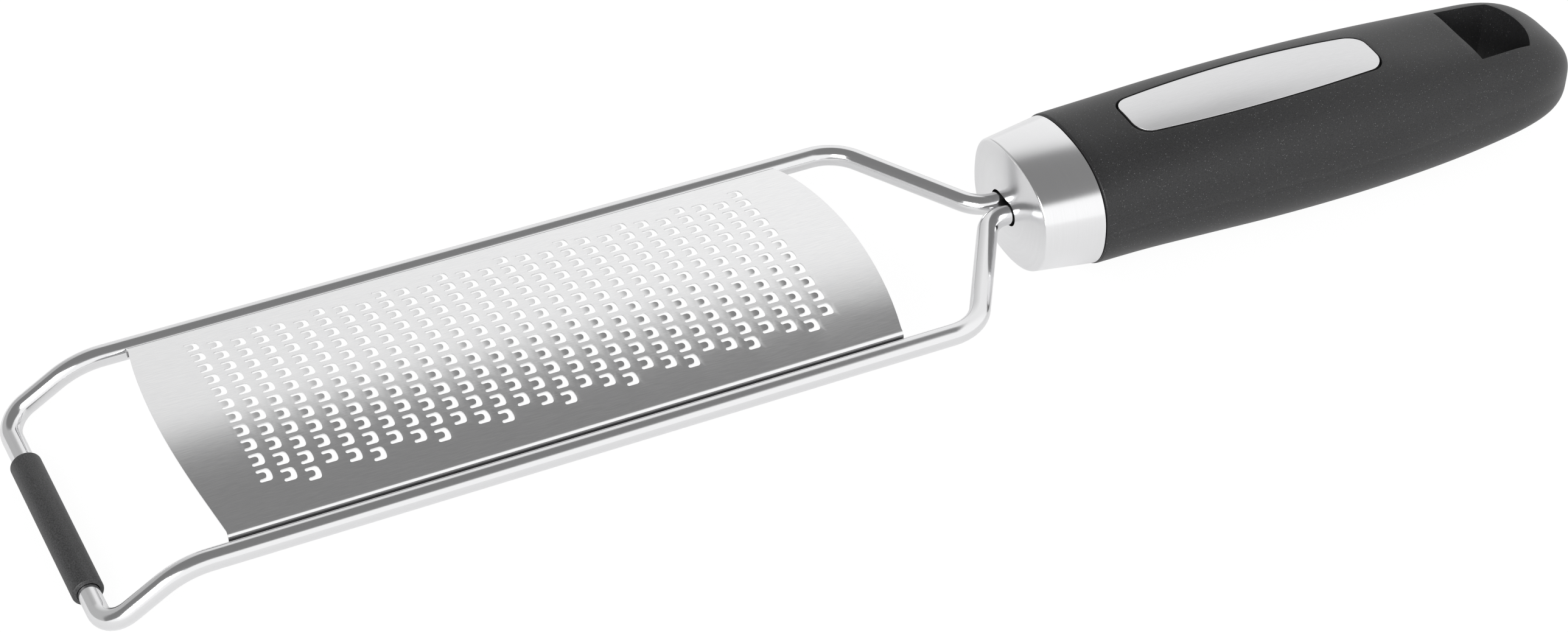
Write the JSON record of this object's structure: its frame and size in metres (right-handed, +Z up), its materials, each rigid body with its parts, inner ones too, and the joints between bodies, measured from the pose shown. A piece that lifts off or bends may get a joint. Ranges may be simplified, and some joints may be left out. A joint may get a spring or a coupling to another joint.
{
  "type": "hand grater",
  "caption": "Flat hand grater: an arched punched steel blade in a bent wire frame, with a rubber foot on the front bar and an oval grip with steel ferrule and hang hole.",
  "frame": {"origin": "under the middle of the whole tool, on the table it lies on", "axes": "+X from the front bar to the grip end, +Y across, to the far side in the picture, +Z up out of the blade's convex face"},
  "size_m": [0.3184, 0.0634, 0.0291],
  "materials": {
    "polished_wire": "polished stainless wire",
    "blade_steel": "fine brushed stainless sheet",
    "foot_rubber": "matt black rubber",
    "satin_steel": "satin stainless, turned round the axis",
    "core_plastic": "plain moulded black, out of sight",
    "grip_plastic": "matt charcoal with fine pale specks",
    "plate_steel": "brushed along its length"
  },
  "bodies": {
    "root": {"wire_frame": "polished_wire", "grating_blade": "blade_steel", "foot_sleeve": "foot_rubber", "ferrule": "satin_steel", "handle_core": "core_plastic", "grip": "grip_plastic", "inlay_plate": "plate_steel"}
  },
  "joints": []
}
